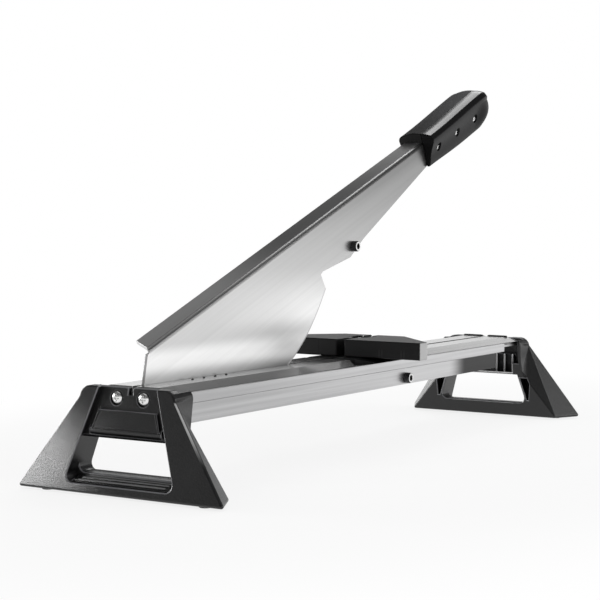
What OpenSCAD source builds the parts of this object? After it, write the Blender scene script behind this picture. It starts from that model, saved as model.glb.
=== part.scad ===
// Laminate flooring cutter: two slotted rails on two feet, a hinged lever blade and a fence.
// Millimetres. The base runs along X with the near foot at -X, the front is at -Y and +Z is up.
// The origin is on the floor, under the middle of the base. Distances along the base are
// measured from the near foot's outer edge, and heights from the underside of the feet.

/* [Base] */
// Length over both feet, at the floor
base_len = 573; // [540:1:700]
// Width over both rails
base_w = 74.4; // [70:0.2:80]
// Width of the blade slot between the rails
slot_w = 3.6; // [3.6:0.1:5]
// Height of the rails' underside
rail_bottom = 48.5; // [46:0.5:50]
// Height of a rail, up to the seat of the tables
rail_h = 18.7; // [18.5:0.1:20]
// Wall of the rails
rail_wall = 2; // [1.6:0.1:2.2]
// Height of the lip that holds the tables in
lip_h = 1.6; // [1:0.1:2]
// Thickness of that lip
lip_t = 1.6; // [1.2:0.1:1.9]
// Height of the step line on the rail's side, above its underside
side_step_h = 13.1; // [10:0.1:15]
// Depth of that step
side_step = 0.5; // [0.3:0.1:0.8]
// Width of the stiffening flanges along the rail's underside
rail_flange = 6; // [4:0.5:8]
// Thickness of those flanges
rail_flange_t = 1; // [0.8:0.1:1.1]
// How far the rails end inside the feet's outer edges
rail_inset = 20; // [19:0.5:24]
// Distance from the far foot's outer edge over which the front rail's side is cut below its step
rail_cut = 76; // [60:1:90]
// Distance over which it is cut above its step too
rail_cut_high = 58; // [40:1:59]

/* [Tables] */
// Thickness of the tables at the slot
table_t = 4.8; // [4:0.1:6]
// Half width over which the tables are flat
table_flat = 20; // [15:0.5:25]
// Length of the tables between the near foot and the fence
table_len = 246; // [220:1:250]
// Corner cut off the tables' outer ends
table_cut = 14; // [8:0.5:16]
// Gap between the tables and the fence base
fence_base_gap = 8; // [4:0.5:10]
// Clearance beside the tables
table_fit = 0.2; // [0.1:0.05:0.4]

/* [Feet] */
// Width of a foot at the floor, on its outer side
foot_w = 170; // [160:1:190]
// Width of a foot at the floor, on its inner side
foot_in_w = 146; // [136:1:156]
// Height of a foot without its pads
foot_h = 71.6; // [71:0.1:74]
// Depth of a foot at the floor
foot_depth = 26; // [24:0.5:30]
// Depth of a foot at the top
foot_top_depth = 20; // [19:0.5:26]
// How far the outer face leans in at the top
foot_lean = 12.2; // [10:0.1:14]
// Thickness of the cheeks beside the rails
cheek_t = 3.1; // [2.5:0.1:4]
// Height of the cheeks' lower inner corner
cheek_bottom = 40.5; // [38:0.5:44]
// Radius of the shoulders at the outer face
shoulder_r = 8; // [5:0.5:9]
// Radius of the shoulders at the inner side
shoulder_in_r = 6.5; // [4:0.5:8]
// Rounding of the foot's edges
foot_round = 1.6; // [1:0.1:2]
// Width of the face recess at the top
recess_top_w = 48; // [44:1:52]
// Width of the face recess at the sill
recess_sill_w = 92; // [86:1:96]
// Depth of the face recess
recess_deep = 4; // [3:0.5:5]
// Height of the sill at its outer edge
sill_out = 6.3; // [5:0.1:8]
// Height of the sill at its inner edge
sill_in = 12; // [10:0.5:14]
// Height of the hand hold's upper edge
hold_top = 38; // [36:0.5:39]
// Radius of the hand hold's lower corners
hold_r = 5; // [3:0.5:7]
// Radius of the ribs on the sill
sill_rib_r = 1.1; // [0.6:0.1:1.4]
// Number of ribs on the sill
sill_ribs = 5; // [3:1:6]
// Height of the bare panel's upper edge
panel_top = 56; // [53:0.5:57]
// Thickness of the panel
panel_t = 2; // [1:0.5:3]
// Radius of the finger lip under the panel
lip_r = 4; // [3:0.25:4.5]
// Thickness of the ribs inside the foot
inner_rib_t = 1.6; // [1.2:0.1:2.5]
// Spacing of those ribs
inner_rib_step = 8; // [7:0.2:8]
// How far those ribs stand out
inner_rib_out = 3; // [2:0.5:4]
// Width of the blade notch in the foot's top edge
notch_w = 3.6; // [3.4:0.1:5]
// Depth of the blade notch
notch_deep = 5.6; // [5:0.1:7]

/* [Foot screws and pads] */
// Distance of the foot screws from the blade slot's middle
foot_screw_y = 11.2; // [9:0.1:14]
// Height of the foot screws
foot_screw_z = 64.1; // [63.5:0.1:64.2]
// Diameter of the foot screws
foot_screw_d = 4; // [3.5:0.5:4]
// Diameter of their pan heads
foot_screw_head_d = 8; // [6.5:0.5:8]
// Height of their pan heads
foot_screw_head_h = 2.4; // [2:0.1:3]
// Length of their shanks
foot_screw_len = 22; // [14:1:30]
// Radius of the screw ports in the rails
port_r = 3.1; // [2.8:0.1:3.1]
// Diameter of the rubber pads
pad_d = 9; // [7:0.5:12]
// Height by which the pads stand out
pad_h = 1.5; // [1:0.1:3]
// Depth of the pads' seats
pad_seat = 1.5; // [1:0.1:3]
// Distance of the pads from the middle
pad_y = 66; // [60:1:70]
// Distance of the pads from the foot's outer edge
pad_x = 9; // [8:0.5:12]

/* [Lever] */
// Distance of the pivot from the near foot's outer edge
pivot_x = 40; // [39:0.5:44]
// Height of the pivot
pivot_z = 60; // [59:0.5:60]
// Angle of the lever's back above the level
lever_angle = 21.2; // [15:0.1:30]
// Thickness of the blade plate
blade_t = 2.5; // [2:0.1:2.6]
// Radius of the blade's eye
eye_r = 13.4; // [12:0.1:14]
// Height of the blade's back above the pivot line
back_v = 35.8; // [34:0.1:38]
// Slope of the heel
heel_angle = 57.2; // [54:0.1:62]
// Width of the flange along the back
flange_w = 18.7; // [14:0.1:22]
// Length of the flange inside the grip
flange_tuck = 25; // [15:1:40]
// Outer radius of the bend
bend_r = 3.4; // [3:0.1:4]
// Diameter of the pivot bolt
pivot_d = 6; // [5:0.5:6]
// Wall of the bush in the blade's eye
bush_wall = 1.5; // [1:0.1:2]
// Diameter of the pivot washers
pivot_washer_d = 20; // [16:0.5:22]
// Distance of the stop screw along the lever
stop_u = 283.2; // [280:0.1:286]
// Height of the stop screw above the pivot line
stop_v = -2.4; // [-3:0.1:0]

/* [Grip] */
// Distance of the grip's front from the pivot
grip_front_u = 425; // [415:1:435]
// Distance of the centre of the grip's round end
grip_end_u = 532; // [525:1:545]
// Height of the grip's underside above the pivot line
grip_low_v = 14; // [12:0.5:15]
// Radius of the grip's round end
grip_end_r = 17.5; // [17:0.5:19]
// Height of the grip's front
grip_front_h = 30.5; // [30:0.5:33]
// Reach of the grip in front of the blade
grip_front_y = 12; // [10:0.5:14]
// Reach of the grip behind the blade
grip_rear_y = 22; // [21:0.5:25]
// Rounding of the grip's upper corners
grip_round = 5; // [3:0.5:7]
// Clearance between grip and blade
grip_fit = 0.1; // [0.05:0.05:0.2]
// Distance of the first grip screw behind the grip's front
grip_screw_in = 15.5; // [13:0.5:19]
// Distance of the last grip screw before the centre of the round end
grip_screw_out = 15.9; // [12:0.1:20]
// Height of the grip screws above the pivot line
grip_screw_v = 27; // [26:0.2:28]
// Diameter of the grip screws
grip_screw_d = 4; // [3:0.5:4]
// Diameter of their heads
grip_screw_head_d = 7; // [6:0.5:8]

/* [Cap screws] */
// Diameter of the stop screw and the tie bolt
cap_d = 5; // [4:0.5:5]
// Diameter of their heads
cap_head_d = 8.5; // [8:0.1:9]
// Height of their heads
cap_head_h = 5; // [4:0.1:5.5]
// Width of their hexagon sockets
cap_socket = 4; // [3:0.5:4]
// Width of their nuts across the flats
cap_nut_w = 8; // [7:0.5:8]
// Height of their nuts
cap_nut_h = 4; // [3:0.1:4.5]
// Distance of the tie bolt from the near foot's outer edge
tie_x = 329; // [322:0.5:330]
// Height of the tie bolt
tie_z = 53.7; // [53:0.1:54.5]
// Diameter of the sleeves and the spacer on the tie bolt
tie_sleeve_d = 8; // [7:0.5:9]

/* [Fence] */
// Distance of the fence's face from the near foot's outer edge
fence_x = 287.5; // [284:0.5:290]
// Length of the fence across the table
fence_len = 145; // [120:1:160]
// Height of the fence
fence_h = 13.7; // [12:0.1:16]
// Depth of the fence, from face to back
fence_deep = 56; // [54:0.5:60]
// Depth of the fence at its ends
fence_end = 12; // [8:0.5:16]
// Gap under the fence
fence_lift = 0.3; // [0.3:0.05:0.5]
// Width of the blade slot at the fence's face
fence_slot_w = 7.4; // [7:0.1:9]
// Width of the blade slot at the stop pocket
fence_slot_in_w = 5.4; // [5.2:0.1:6.5]
// Width of the stop pocket
pocket_w = 17; // [16.4:0.2:20]
// Start of the stop pocket behind the face
pocket_x = 26.5; // [25:0.5:28]
// Length of the stop pocket
pocket_len = 17; // [16:0.5:17]
// Depth of the stop pocket in the fence base
stop_deep = 0.7; // [0.5:0.1:1]
// Half width of the keel that joins the fence's halves
keel_half = 15; // [12:0.5:18]
// Depth of the keel along the base
keel_len = 11; // [10.5:0.5:12]
// Distance of the fence's swivel from its face
swivel_x = 51.5; // [51:0.5:52]
// Diameter of the swivel screw
swivel_d = 5; // [4:0.5:5]
// Diameter of the swivel screw's head
swivel_head_d = 8; // [7:0.5:8]
// Height of that head
swivel_head_h = 2; // [1.5:0.1:2.4]
// Diameter of the swivel's barrel nut
swivel_nut_d = 10; // [9:0.5:11]
// Height of the barrel nut
swivel_nut_h = 8; // [6:0.5:9]
// Gap between the fence base, the keel and the decks
keel_gap = 2; // [1.5:0.1:3]

/* [Hidden] */
$fn = 64;
over = 1;
fit = 0.05;

half_w = base_w / 2;
half_slot = slot_w / 2;
rail_len = base_len - 2 * rail_inset;
seat_z = rail_bottom + rail_h;
table_top = seat_z + table_t;
web_out = half_slot + rail_wall;
table_edge = half_w - side_step - lip_t - table_fit;
table_end = rail_inset + table_len;
keel_start = fence_x + fence_deep - keel_len;
keel_end = fence_x + fence_deep;
fence_base_start = table_end + fence_base_gap;
fence_base_len = keel_start - keel_gap - fence_base_start;
deck_start = keel_end + keel_gap;
deck_len = base_len - rail_inset - deck_start;
swivel_at = fence_x + swivel_x;
fence_bottom = table_top + fence_lift;
keel_bottom = seat_z + fence_lift;
lean = foot_lean / foot_h;
cheek_y = half_w + cheek_t;
plug_x = foot_depth - 2;
plug_start = half_slot + rail_flange + 0.4;
plug_end = half_w - rail_flange - 0.3;
screw_seat_x = lean * foot_screw_z + recess_deep + 1.3;
pivot_bore_d = pivot_d + 2 * fit;
bush_d = pivot_bore_d + 2 * bush_wall;
pivot_head_d = 1.5 * pivot_d;
pivot_head_h = 4;
pivot_nut_w = 10;
pivot_nut_h = 4;
half_blade = blade_t / 2;
washer_t = half_slot - half_blade - fit;
tang_end_u = grip_end_u - 4;
grip_screw_u = grip_front_u + grip_screw_in;
grip_screw_step = (grip_end_u - grip_screw_out - grip_screw_u) / 2;
flange_end_u = grip_front_u + flange_tuck;
web_top_v = back_v - bend_r;

// Points of the blade's outline, along the lever and above the pivot line
heel_dir = [cos(heel_angle), sin(heel_angle)];
heel_foot = 0.98 * eye_r * [-heel_dir.y, heel_dir.x];
heel_top_u = heel_foot.x + (web_top_v - heel_foot.y) * heel_dir.x / heel_dir.y;
heel_end_u = heel_foot.x + (back_v - heel_foot.y) * heel_dir.x / heel_dir.y;
belly_start = [130, -52];
belly_pull = [[165, -53], [195, -45]];
hook_tip = [232.5, -17.9];
hook_root = [229.6, -4.4];
notch_root = [233.5, -3.4];
arm_heel = [stop_u - 6.5, -9.3];
arm_boss = [stop_u - 2.5, -8.2];
arm_start = [stop_u + 18.6, -3];
arm_end = [grip_front_u + 4, 15.3];
tang_low_v = 18;
belly_turn = atan2(belly_start.y, belly_start.x) - acos(eye_r / norm(belly_start));
eye_low = 0.98 * eye_r * [cos(belly_turn), sin(belly_turn)];

// A point on the cubic curve through a and d with the pulls b and c, at t from 0 to 1
function curve_at(a, b, c, d, t) =
    pow(1 - t, 3) * a + 3 * t * pow(1 - t, 2) * b + 3 * t * t * (1 - t) * c + pow(t, 3) * d;

belly = [for (i = [0:12]) curve_at(belly_start, belly_pull[0], belly_pull[1], hook_tip, i / 12)];
blade_outline = concat(
    [[heel_top_u, web_top_v], heel_foot, [0, 0], eye_low], belly,
    [hook_root, notch_root, arm_heel, arm_boss, arm_start, arm_end,
     [grip_front_u + 12, tang_low_v], [tang_end_u, tang_low_v], [tang_end_u, web_top_v]]);

// Half width of the foot's recess and hand hold at a height
function recess_half(z) =
    (recess_top_w + (recess_sill_w - recess_top_w) * (foot_h - z) / (foot_h - sill_out)) / 2;

// Half width of the foot's bare panel at a height
function panel_half(z) = recess_half(z) - 5;

// Puts a piece that is measured from the near foot's outer edge into the frame
module on_floor() {
    translate([-base_len / 2, 0, pad_h]) children();
}

// Puts a piece that is measured along the lever on the pivot
module on_lever() {
    on_floor() translate([pivot_x, 0, pivot_z]) rotate([0, -lever_angle, 0]) children();
}

// Draws a shape of length and height, with its thickness across the base
module across(thick) {
    rotate([90, 0, 0]) linear_extrude(thick, center = true) children();
}

// Draws a section of width and height along the base
module along(length) {
    rotate([90, 0, 90]) linear_extrude(length) children();
}

// Turns a piece that was made upwards so that it points to the front or to the rear
module to_front() {
    rotate([90, 0, 0]) children();
}

module to_rear() {
    rotate([-90, 0, 0]) children();
}

// Repeats a piece at the front and, mirrored, at the rear
module both_sides() {
    children();
    mirror([0, 1, 0]) children();
}

// Rail of the rear side: web, top, outer wall with its lip, flanges and screw port
module rail_section() {
    difference() {
        union() {
            translate([half_slot, rail_bottom]) square([rail_wall, rail_h]);
            translate([half_slot, seat_z - rail_wall]) square([half_w - half_slot, rail_wall]);
            translate([half_w - rail_wall - side_step, rail_bottom]) square([rail_wall, rail_h]);
            translate([half_w - lip_t - side_step, seat_z - over]) square([lip_t, lip_h + over]);
            translate([half_w - rail_wall, rail_bottom]) square([rail_wall, side_step_h]);
            translate([half_w - rail_flange, rail_bottom]) square([rail_flange, rail_flange_t]);
            translate([half_slot, rail_bottom]) square([rail_flange, rail_flange_t]);
            translate([foot_screw_y, foot_screw_z]) circle(port_r);
        }
        translate([foot_screw_y, foot_screw_z]) circle(foot_screw_d / 2 + fit);
        translate([half_w - side_step, rail_bottom + side_step_h])
            square([side_step + over, rail_h + lip_h]);
    }
}

module rear_rail_solid() {
    on_floor() difference() {
        translate([rail_inset, 0, 0]) along(rail_len) rail_section();
        translate([pivot_x, 0, pivot_z]) to_rear() cylinder(h = web_out + over, d = pivot_bore_d);
        translate([tie_x, 0, tie_z]) to_rear() cylinder(h = half_w + over, d = cap_d + 2 * fit);
        translate([swivel_at, 0, seat_z - swivel_nut_h])
            cylinder(h = swivel_nut_h + over, d = swivel_nut_d + 2 * fit);
    }
}

module rear_rail() { color("silver") rear_rail_solid(); }

// The front rail's side is cut open near the far foot, in a step
module front_rail() {
    color("silver") difference() {
        mirror([0, 1, 0]) rear_rail_solid();
        on_floor() translate([base_len - rail_cut, -half_w - over, rail_bottom - over])
            cube([rail_cut, rail_flange + 2 * over, side_step_h + over]);
        on_floor() translate([base_len - rail_cut_high, -half_w - over, rail_bottom])
            cube([rail_cut_high, over + side_step + rail_wall + table_fit, rail_h + lip_h + over]);
    }
}

// Section of the tables, decks and fence base at the rear: flat by the slot, then falling away
module table_section() {
    polygon([[half_slot, seat_z], [table_edge, seat_z], [table_edge, seat_z + lip_h],
             [table_flat, table_top], [half_slot, table_top]]);
}

// Cuts a strip's outer corner off at 45 degrees, from its end at x
module corner_cut(x) {
    translate([x, half_w - table_cut - lip_t, seat_z - over]) rotate([0, 0, 45])
        cube([3 * table_cut, 2 * table_cut, table_t + 2 * over]);
}

module rear_table_solid() {
    on_floor() difference() {
        translate([rail_inset, 0, 0]) along(table_len) table_section();
        corner_cut(table_end);
    }
}

module rear_table() { color("gainsboro") rear_table_solid(); }
module front_table() { color("gainsboro") mirror([0, 1, 0]) rear_table_solid(); }

module rear_deck_solid() {
    on_floor() difference() {
        translate([deck_start, 0, 0]) along(deck_len) table_section();
        translate([swivel_at, 0, seat_z - over])
            cylinder(h = table_t + 2 * over, d = swivel_nut_d);
    }
}

module rear_deck() { color("gainsboro") rear_deck_solid(); }
module front_deck() { color("gainsboro") mirror([0, 1, 0]) rear_deck_solid(); }

module rear_fence_base_solid() {
    pocket_at = fence_x + pocket_x;
    on_floor() difference() {
        translate([fence_base_start - table_cut, 0, 0]) along(fence_base_len + table_cut)
            table_section();
        translate([fence_base_start - 3 * table_cut, 0, seat_z - over])
            cube([3 * table_cut, half_w - table_cut - lip_t, table_t + 2 * over]);
        translate([fence_base_start, half_w - table_cut - lip_t, seat_z - over])
            rotate([0, 0, 135]) translate([0, -table_cut, 0])
                cube([3 * table_cut, 2 * table_cut, table_t + 2 * over]);
        translate([pocket_at, 0, table_top - stop_deep])
            cube([pocket_len, pocket_w / 2, stop_deep + over]);
    }
}

module rear_fence_base() { color([0.13, 0.13, 0.13]) rear_fence_base_solid(); }
module front_fence_base() { color([0.13, 0.13, 0.13]) mirror([0, 1, 0]) rear_fence_base_solid(); }

// One rounded corner of a foot's blank
module foot_corner(x, y, z) {
    translate([x, y, z]) sphere(foot_round, $fn = 16);
}

// Where the corners of the leaning outer face lie at a height
function face_x(z) = foot_round + lean * (z - foot_round);

// The corners round one shoulder, at x on the outer face or at a fixed x inside
module shoulder(r, inside) {
    turn = r - foot_round;
    for (angle = [0, 22.5, 45, 67.5, 90]) {
        z = foot_h - r + turn * sin(angle);
        foot_corner(inside ? foot_lean + foot_top_depth - foot_round : face_x(z),
                    cheek_y - r + turn * cos(angle), z);
    }
}

// The foot's blank: splayed legs up to the shoulders, and the block that holds the rails
module foot_blank() {
    r = foot_round;
    shoulder_z = foot_h - shoulder_r;
    hull() {
        both_sides() {
            foot_corner(face_x(r), foot_w / 2 - r, r);
            foot_corner(foot_depth - r, foot_in_w / 2 - r, r);
            foot_corner(face_x(shoulder_z), cheek_y - r, shoulder_z);
            foot_corner(foot_depth + 1, cheek_y - r, cheek_bottom);
        }
    }
    hull() {
        both_sides() {
            foot_corner(face_x(cheek_bottom), cheek_y - r, cheek_bottom);
            foot_corner(foot_depth + 1, cheek_y - r, cheek_bottom);
            shoulder(shoulder_r, false);
            shoulder(shoulder_in_r, true);
        }
    }
}

// Half of the recess's outline from z0 to z1, with a rounded lower corner
function recess_side(z0, z1, low_r) =
    let (turn = 90 + atan2(recess_half(z0) - recess_half(z1), z1 - z0),
         mid = [recess_half(z0) - low_r * tan(turn / 2), z0 + low_r])
    concat([for (i = [0:6]) mid + low_r * [sin(turn * i / 6), -cos(turn * i / 6)]],
           [[recess_half(z1), z1]]);

// A prism along X with the width of the recess, from z0 to z1 and from x0 to x1
module recess_prism(x0, x1, z0, z1, low_r) {
    half = recess_side(z0, z1, low_r);
    last = len(half) - 1;
    other = [for (i = [0:last]) [-half[last - i].x, half[last - i].y]];
    translate([x0, 0, 0]) along(x1 - x0) polygon(concat(half, other));
}

// The recess in the leaning outer face, open at the top and sloping at the sill
module face_recess() {
    deep = foot_depth + foot_lean + foot_top_depth;
    top = foot_h + over;
    intersection() {
        recess_prism(-over, deep, sill_out, top, hold_r);
        across(foot_w)
            polygon([[-over, sill_out], [recess_deep + lean * sill_out, sill_out],
                     [recess_deep + lean * top, top], [-over, top]]);
    }
}

// The hand hold, right through the foot above the sloping sill
module hand_hold() {
    deep = foot_depth + foot_lean;
    intersection() {
        union() {
            recess_prism(-over, foot_depth / 2, sill_out, hold_top, hold_r);
            recess_prism(foot_depth / 2 - over, deep, sill_in, hold_top, hold_r);
        }
        across(foot_w)
            polygon([[-over, sill_out], [0, sill_out], [foot_depth, sill_in],
                     [deep, sill_in], [deep, hold_top], [-over, hold_top]]);
    }
}

// The bare panel on the recess's floor, with the finger lip under it
module face_panel() {
    floor_x = recess_deep;
    low = hold_top + lip_r;
    intersection() {
        along(foot_depth)
            polygon([[-panel_half(hold_top), hold_top], [panel_half(hold_top), hold_top],
                     [panel_half(panel_top), panel_top], [-panel_half(panel_top), panel_top]]);
        across(foot_w)
            polygon([[lean * low + floor_x - panel_t, low],
                     [lean * panel_top + floor_x - panel_t, panel_top],
                     [lean * panel_top + floor_x + over, panel_top],
                     [lean * low + floor_x + over, low]]);
    }
    translate([lean * low + floor_x - panel_t + lip_r, 0, low]) rotate([90, 0, 0])
        cylinder(h = 2 * panel_half(hold_top), r = lip_r, center = true);
}

// Ribs along the sill, for the fingers
module sill_rib_row() {
    run = foot_depth - 8;
    for (i = [0:sill_ribs - 1]) {
        at = 6 + run * i / (sill_ribs - 1);
        height = sill_out + (sill_in - sill_out) * at / foot_depth;
        translate([at, 0, height]) rotate([90, 0, 0])
            cylinder(h = recess_sill_w - 2 * hold_r, r = sill_rib_r, center = true);
    }
}

// Room behind the foot's wall, under the rails
module back_pocket() {
    translate([plug_x, -plug_end, hold_top + 2])
        cube([foot_depth, 2 * plug_end, rail_bottom - hold_top]);
}

// Plug inside a rail, and the upright ribs on it and on the wall below it
module rail_plug() {
    high = foot_screw_z - port_r - 4;
    translate([rail_inset - over, plug_start, hold_top])
        cube([plug_x - rail_inset + over, plug_end - plug_start, high - hold_top]);
    for (i = [0:2])
        translate([rail_inset, plug_end - inner_rib_t - i * inner_rib_step, hold_top])
            cube([plug_x - rail_inset + inner_rib_out, inner_rib_t, high - hold_top]);
}

// Slot in each leg, open to the inside, that thins the wall of the hand hold
module leg_slot() {
    low = sill_in + 3;
    high = hold_top - 3;
    wall = 1.8;
    translate([foot_depth / 2, 0, 0]) along(foot_depth)
        polygon([[recess_half(low) + wall, low], [recess_half(low) + wall + 1.6, low],
                 [recess_half(high) + wall + 9.5, high - 5], [recess_half(high) + wall + 7, high],
                 [recess_half(high) + wall, high]]);
}

module foot_body() {
    difference() {
        foot_blank();
        face_recess();
        hand_hold();
        translate([rail_inset, -half_w - fit, rail_bottom])
            cube([2 * foot_depth, base_w + 2 * fit, foot_h]);
        back_pocket();
    }
    intersection() {
        foot_blank();
        union() {
            face_panel();
            sill_rib_row();
        }
    }
    both_sides() rail_plug();
}

module foot_solid() {
    difference() {
        foot_body();
        both_sides() {
            leg_slot();
            translate([0, foot_screw_y, foot_screw_z]) rotate([0, 90, 0])
                cylinder(h = foot_depth, d = foot_screw_d + 2 * fit);
            translate([0, foot_screw_y, foot_screw_z]) rotate([0, 90, 0])
                cylinder(h = screw_seat_x, d = foot_screw_head_d + 2.6);
            translate([pad_x, pad_y, -over]) cylinder(h = pad_seat + over, d = pad_d);
        }
        translate([0, -notch_w / 2, foot_h - notch_deep])
            cube([foot_depth, notch_w, foot_h]);
        translate([rail_inset - 2.5, -notch_w / 2, pivot_z])
            cube([foot_depth, notch_w, foot_h]);
        translate([rail_inset, -notch_w, hold_top + lip_r + 1])
            cube([foot_depth, 2 * notch_w, foot_h]);
    }
}

module near_foot() { color([0.15, 0.15, 0.15]) on_floor() foot_solid(); }

module far_foot() {
    color([0.15, 0.15, 0.15]) on_floor() translate([base_len, 0, 0]) mirror([1, 0, 0]) foot_solid();
}

// Pan-head screw along X, with its head on the seat at the outer side
module foot_screw() {
    cross = foot_screw_head_d / 5;
    cross_len = foot_screw_head_d / 2;
    translate([screw_seat_x, 0, 0]) rotate([0, 90, 0]) {
        cylinder(h = foot_screw_len, d = foot_screw_d);
        difference() {
            translate([0, 0, -foot_screw_head_h]) cylinder(h = foot_screw_head_h, d = foot_screw_head_d);
            for (turn = [0, 90])
                rotate([0, 0, turn])
                    translate([-cross_len / 2, -cross / 2, -foot_screw_head_h - over])
                        cube([cross_len, cross, foot_screw_head_h / 2 + over]);
        }
    }
}

module foot_screw_pair() {
    both_sides() translate([0, foot_screw_y, foot_screw_z]) foot_screw();
}

module near_foot_screws() { color("lightgray") on_floor() foot_screw_pair(); }

module far_foot_screws() {
    color("lightgray") on_floor() translate([base_len, 0, 0]) mirror([1, 0, 0]) foot_screw_pair();
}

module pad_pair() {
    both_sides() translate([pad_x, pad_y, -pad_h]) cylinder(h = pad_h + pad_seat, d = pad_d - 2 * fit);
}

module near_pads() { color([0.08, 0.08, 0.08]) on_floor() pad_pair(); }

module far_pads() {
    color([0.08, 0.08, 0.08]) on_floor() translate([base_len, 0, 0]) mirror([1, 0, 0]) pad_pair();
}

// Hexagon nut with a bore, standing on its face with two flats level
module hex_nut(width, height, bore) {
    difference() {
        cylinder(h = height, d = width / cos(30), $fn = 6);
        translate([0, 0, -over]) cylinder(h = height + 2 * over, d = bore);
    }
}

// Cap screw with a hexagon socket: the head above its seat, the shank below
module cap_screw(length) {
    translate([0, 0, -length]) cylinder(h = length, d = cap_d);
    difference() {
        cylinder(h = cap_head_h, d = cap_head_d);
        translate([0, 0, cap_head_h / 2]) cylinder(h = cap_head_h, d = cap_socket / cos(30), $fn = 6);
    }
}

module pivot_bolt() {
    color("gray") on_floor() translate([pivot_x, -web_out, pivot_z]) to_rear() {
        cylinder(h = 2 * web_out + pivot_nut_h, d = pivot_d);
        translate([0, 0, -pivot_head_h]) cylinder(h = pivot_head_h, d = pivot_head_d);
    }
}

module pivot_nut() {
    color("gray") on_floor() translate([pivot_x, web_out, pivot_z]) to_rear()
        hex_nut(pivot_nut_w, pivot_nut_h, pivot_bore_d);
}

module pivot_washers() {
    color("white") on_floor() translate([pivot_x, 0, pivot_z]) both_sides() to_rear()
        translate([0, 0, half_blade + fit]) difference() {
            cylinder(h = washer_t, d = pivot_washer_d);
            translate([0, 0, -over]) cylinder(h = washer_t + 2 * over, d = bush_d + 1);
        }
}

module pivot_bush() {
    color("darkgoldenrod") on_lever() to_front()
        translate([0, 0, -half_slot + fit]) difference() {
            cylinder(h = slot_w - 2 * fit, d = bush_d);
            translate([0, 0, -over]) cylinder(h = slot_w + 2 * over, d = pivot_bore_d);
        }
}

module tie_bolt() {
    color([0.2, 0.2, 0.2]) on_floor() translate([tie_x, -half_w, tie_z]) to_front()
        cap_screw(base_w + cap_nut_h);
}

module tie_nut() {
    color([0.2, 0.2, 0.2]) on_floor() translate([tie_x, half_w, tie_z]) to_rear()
        hex_nut(cap_nut_w, cap_nut_h, cap_d + 2 * fit);
}

// Sleeve on the tie bolt from a distance y, with a length
module tie_ring(y, length) {
    translate([tie_x, y, tie_z]) to_rear() difference() {
        cylinder(h = length, d = tie_sleeve_d);
        translate([0, 0, -over]) cylinder(h = length + 2 * over, d = cap_d + 2 * fit);
    }
}

module tie_spacer() { color("gray") on_floor() tie_ring(-half_slot, slot_w); }

module tie_sleeves() {
    color("gray") on_floor() both_sides()
        tie_ring(web_out, half_w - rail_wall - side_step - web_out);
}

// Screw that the fence swings on, with its flat head sunk in the keel
module fence_screw() {
    shank = keel_bottom + table_t - seat_z + swivel_nut_h;
    color("gray") on_floor() translate([swivel_at, 0, keel_bottom + table_t]) {
        translate([0, 0, -shank]) cylinder(h = shank - swivel_head_h, d = swivel_d);
        translate([0, 0, -swivel_head_h]) cylinder(h = swivel_head_h, d = swivel_head_d);
    }
}

module fence_nut() {
    color("gray") on_floor() translate([swivel_at, 0, seat_z - swivel_nut_h]) difference() {
        cylinder(h = swivel_nut_h, d = swivel_nut_d);
        translate([0, 0, -over]) cylinder(h = swivel_nut_h + 2 * over, d = swivel_d + 2 * fit);
    }
}

// Flange along the blade's back with its bend, cut back at the heel
module blade_flange() {
    end_cut = flange_w * 0.6;
    difference() {
        translate([heel_end_u - over, 0, 0]) along(flange_end_u - heel_end_u + over) {
            translate([bend_r - half_blade, back_v - blade_t]) square([flange_w - bend_r, blade_t]);
            intersection() {
                translate([bend_r - half_blade, web_top_v]) difference() {
                    circle(bend_r);
                    circle(bend_r - blade_t);
                }
                translate([-half_blade, web_top_v]) square([bend_r, bend_r]);
            }
        }
        translate([heel_end_u, -half_blade, web_top_v - over])
            rotate([0, 0, atan2(flange_w, end_cut)]) translate([-flange_w, 0, 0])
                cube([3 * flange_w, flange_w, bend_r + 2 * over]);
    }
}

module blade() {
    color("lightsteelblue") on_lever() difference() {
        union() {
            across(blade_t) {
                circle(eye_r);
                polygon(blade_outline);
            }
            blade_flange();
        }
        to_front() cylinder(h = 2 * slot_w, d = bush_d, center = true);
        translate([stop_u, 0, stop_v]) to_front()
            cylinder(h = 2 * slot_w, d = cap_d + 2 * fit, center = true);
        for (i = [0:2])
            translate([grip_screw_u + i * grip_screw_step, 0, grip_screw_v]) to_front()
                cylinder(h = 2 * slot_w, d = grip_screw_d + 2 * fit, center = true);
    }
}

module stop_screw() {
    color([0.2, 0.2, 0.2]) on_lever() translate([stop_u, -half_blade, stop_v]) to_front()
        cap_screw(blade_t + cap_nut_h);
}

module stop_nut() {
    color([0.2, 0.2, 0.2]) on_lever() translate([stop_u, half_blade, stop_v]) to_rear()
        hex_nut(cap_nut_w, cap_nut_h, cap_d + 2 * fit);
}

// Whole grip: the side outline with its round end, trimmed to the section across it
module grip_form() {
    mid_v = grip_low_v + grip_end_r;
    high_v = mid_v + grip_end_r;
    front_v = grip_low_v + grip_front_h;
    reach = grip_end_u + grip_end_r - grip_front_u;
    intersection() {
        across(3 * grip_rear_y) {
            polygon([[grip_front_u, grip_low_v], [grip_end_u, grip_low_v], [grip_end_u, high_v],
                     [grip_front_u, front_v]]);
            translate([grip_end_u, mid_v]) circle(grip_end_r);
        }
        translate([grip_front_u - over, 0, 0]) along(reach + 2 * over) {
            polygon([[-grip_front_y / 3, grip_low_v], [-grip_front_y, back_v],
                     [-grip_front_y, high_v - grip_round], [grip_round - grip_front_y, high_v],
                     [grip_rear_y - 2 * grip_round, high_v], [grip_rear_y, front_v - grip_round],
                     [grip_rear_y, back_v - blade_t], [grip_rear_y / 3, grip_low_v]]);
        }
    }
}

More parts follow.
